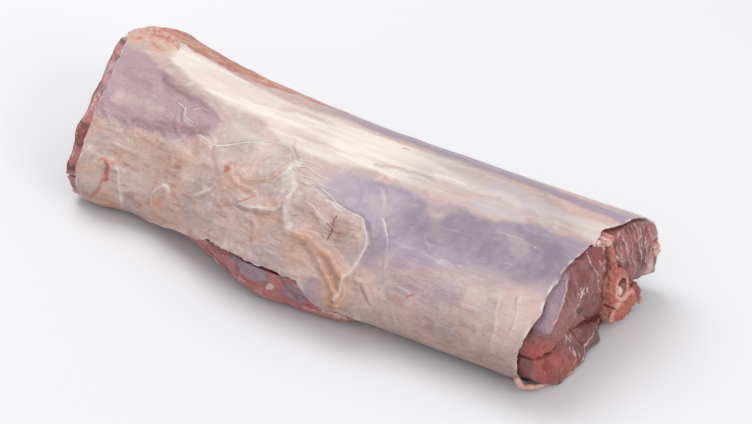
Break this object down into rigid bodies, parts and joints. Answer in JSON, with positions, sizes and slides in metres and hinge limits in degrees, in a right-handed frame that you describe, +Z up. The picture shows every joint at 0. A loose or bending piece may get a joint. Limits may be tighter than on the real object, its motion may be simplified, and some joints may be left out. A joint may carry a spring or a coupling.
{
  "type": "raw kid goat saddle",
  "caption": "Raw bone-in saddle of kid goat: loins on the backbone under a sheet of pale fascia, cut across at both ends, lying on its flanks.",
  "frame": {"origin": "centre of the bounding box in plan, on the surface that the saddle lies on", "axes": "+X along the back towards the open cut with the vertebra showing, +Z up, +Y across, away from the long sloping side"},
  "size_m": [0.3252, 0.136, 0.0652],
  "materials": {
    "fascia": "satin",
    "ridge_fat": "satin",
    "loin_left": "satin",
    "loin_right": "satin",
    "flank_left": "satin",
    "flank_right": "satin",
    "tenderloin_left": "satin",
    "tenderloin_right": "satin",
    "backbone": "matte",
    "spinal_cord": "satin"
  },
  "bodies": {
    "root": {"fascia": "fascia", "ridge_fat": "ridge_fat", "loin_left": "loin_left", "loin_right": "loin_right", "flank_left": "flank_left", "flank_right": "flank_right", "tenderloin_left": "tenderloin_left", "tenderloin_right": "tenderloin_right", "backbone": "backbone", "spinal_cord": "spinal_cord"}
  },
  "joints": []
}
